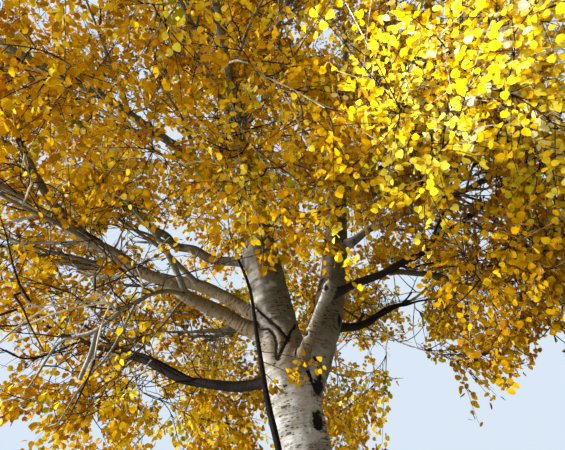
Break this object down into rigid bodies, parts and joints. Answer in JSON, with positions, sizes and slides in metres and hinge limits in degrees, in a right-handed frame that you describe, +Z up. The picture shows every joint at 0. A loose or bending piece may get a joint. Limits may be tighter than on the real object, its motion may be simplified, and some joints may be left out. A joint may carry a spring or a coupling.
{
  "type": "poplar tree",
  "caption": "Whole leaning poplar in autumn leaf, with two pale leaders, spreading boughs, a short sawn stub and golden masses of foliage all round the crown.",
  "frame": {"origin": "middle of the flat cut under the trunk, at ground level", "axes": "+Z up; the camera of the picture stands on the -Y side and looks along +Y, with +X to its right; the trunk leans towards -X"},
  "size_m": [8.1636, 7.851, 12.0294],
  "materials": {
    "pale_bark": "smooth pale bark",
    "dark_bark": "rough dark bark",
    "foliage": "autumn gold leaves"
  },
  "bodies": {
    "root": {"bough_back_left": "pale_bark", "bough_back_right": "pale_bark", "bough_dark_left": "dark_bark", "bough_drooping": "pale_bark", "bough_front": "pale_bark", "bough_front_left": "pale_bark", "bough_front_right": "pale_bark", "bough_left": "pale_bark", "bough_left_fork": "pale_bark", "bough_low_left": "pale_bark", "bough_low_right": "pale_bark", "bough_middle_1": "pale_bark", "bough_middle_2": "pale_bark", "bough_middle_3": "pale_bark", "bough_middle_4": "pale_bark", "bough_middle_5": "pale_bark", "bough_middle_6": "pale_bark", "bough_right_back": "pale_bark", "bough_right_front": "pale_bark", "bough_stub_side": "pale_bark", "bough_upper_1": "pale_bark", "bough_upper_2": "pale_bark", "bough_upper_3": "pale_bark", "bough_upper_4": "pale_bark", "bough_upper_left": "pale_bark", "leader": "pale_bark", "mass_back_left": "foliage", "mass_back_right": "foliage", "mass_crown_tip": "foliage", "mass_dark_left": "foliage", "mass_drooping": "foliage", "mass_front": "foliage", "mass_front_left": "foliage", "mass_front_right": "foliage", "mass_leader_top": "foliage", "mass_left": "foliage", "mass_left_fork": "foliage", "mass_low_left": "foliage", "mass_low_right": "foliage", "mass_middle_1": "foliage", "mass_middle_2": "foliage", "mass_middle_3": "foliage", "mass_middle_4": "foliage", "mass_middle_5": "foliage", "mass_middle_6": "foliage", "mass_right_back": "foliage", "mass_right_front": "foliage", "mass_sprig": "foliage", "mass_stub_side": "foliage", "mass_top_back": "foliage", "mass_top_front": "foliage", "mass_upper_1": "foliage", "mass_upper_2": "foliage", "mass_upper_3": "foliage", "mass_upper_4": "foliage", "mass_upper_left": "foliage", "shoot": "dark_bark", "stub": "pale_bark", "trunk": "pale_bark"}
  },
  "joints": []
}
